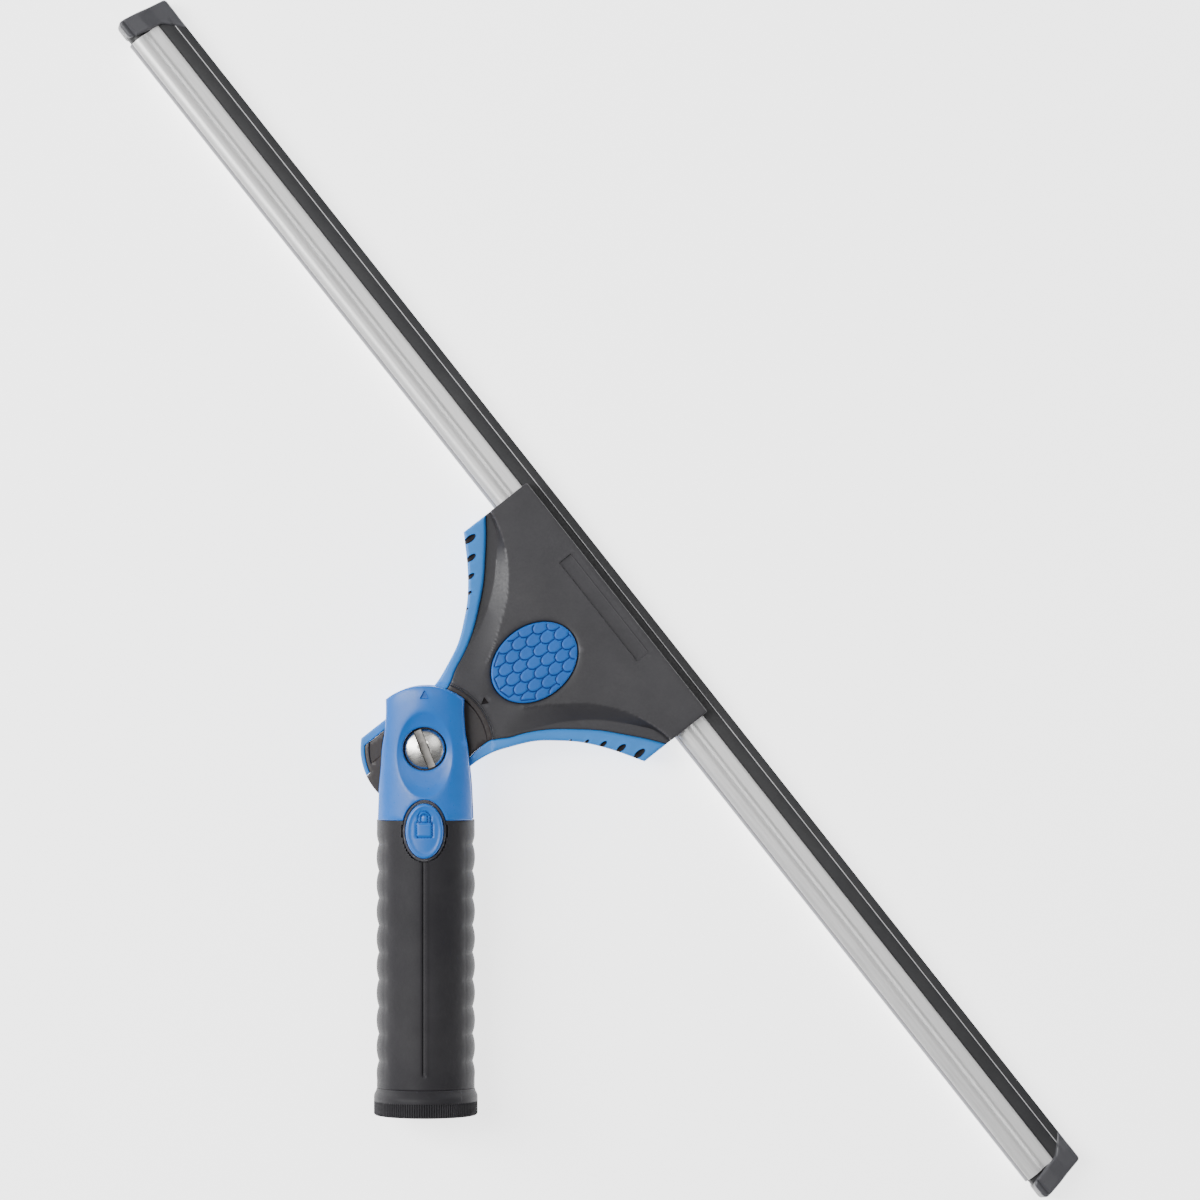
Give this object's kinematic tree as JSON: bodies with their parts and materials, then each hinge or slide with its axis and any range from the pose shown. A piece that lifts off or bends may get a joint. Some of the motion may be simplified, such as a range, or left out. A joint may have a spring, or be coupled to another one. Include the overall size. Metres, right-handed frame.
{
  "type": "window cleaning squeegee",
  "caption": "Window squeegee with a wide rubber blade in a steel channel, a swivelling lockable head and a ribbed grip with a pole socket.",
  "frame": {"origin": "centre of the pole socket's mouth, at the handle's end", "axes": "+Y runs up the handle to the swivel pivot, +Z comes out of the front face, +X is to the right seen from the front"},
  "size_m": [0.2995, 0.3728, 0.032],
  "materials": {
    "black_nylon": "fine moulded texture",
    "grip_rubber": "satin soft-touch",
    "blue_plastic": "satin",
    "blue_soft": "soft-touch",
    "channel_steel": "drawn stainless",
    "fastener_steel": "turned",
    "bush_bronze": "sintered",
    "washer_acetal": "plain",
    "blade_rubber": "natural rubber",
    "cap_plastic": "moulded"
  },
  "bodies": {
    "handle": {"handle_core": "black_nylon", "grip_sleeve": "grip_rubber", "end_collar": "grip_rubber", "fork_front_shell": "blue_plastic", "fork_back_shell": "blue_plastic", "shell_screws": "fastener_steel", "button_bezel": "black_nylon", "pivot_screw": "fastener_steel", "screw_washer": "fastener_steel", "pivot_bush": "bush_bronze", "friction_washer_front": "washer_acetal", "friction_washer_back": "washer_acetal", "spring_washer": "fastener_steel", "pivot_nut": "fastener_steel", "button_spring": "fastener_steel"},
    "lock": {"lock_button": "blue_plastic", "lock_plate": "fastener_steel", "lock_pin": "fastener_steel"},
    "head": {"head_core": "black_nylon", "head_front_cover": "black_nylon", "head_back_cover": "black_nylon", "head_rim_right": "blue_soft", "head_rim_left": "blue_soft", "thumb_pad": "blue_soft", "lock_disc": "fastener_steel", "head_screws": "fastener_steel", "channel_clip": "fastener_steel", "clip_screws": "fastener_steel", "channel": "channel_steel", "rubber_blade": "blade_rubber", "end_cap_left": "cap_plastic", "end_cap_right": "cap_plastic"}
  },
  "joints": [
    {"name": "head_swivel", "type": "hinge", "parent": "handle", "child": "head", "pos_m": [0, 0.1131, 0], "axis": [0, 0, 1], "range_deg": [-38.79, 142.23]},
    {"name": "lock_press", "type": "slide", "parent": "handle", "child": "lock", "axis": [0, 0, -1], "range_m": [0, 0.0018], "stiffness_N_per_m": 600, "springref_m": -0.003, "deforming": ["button_spring"]}
  ]
}
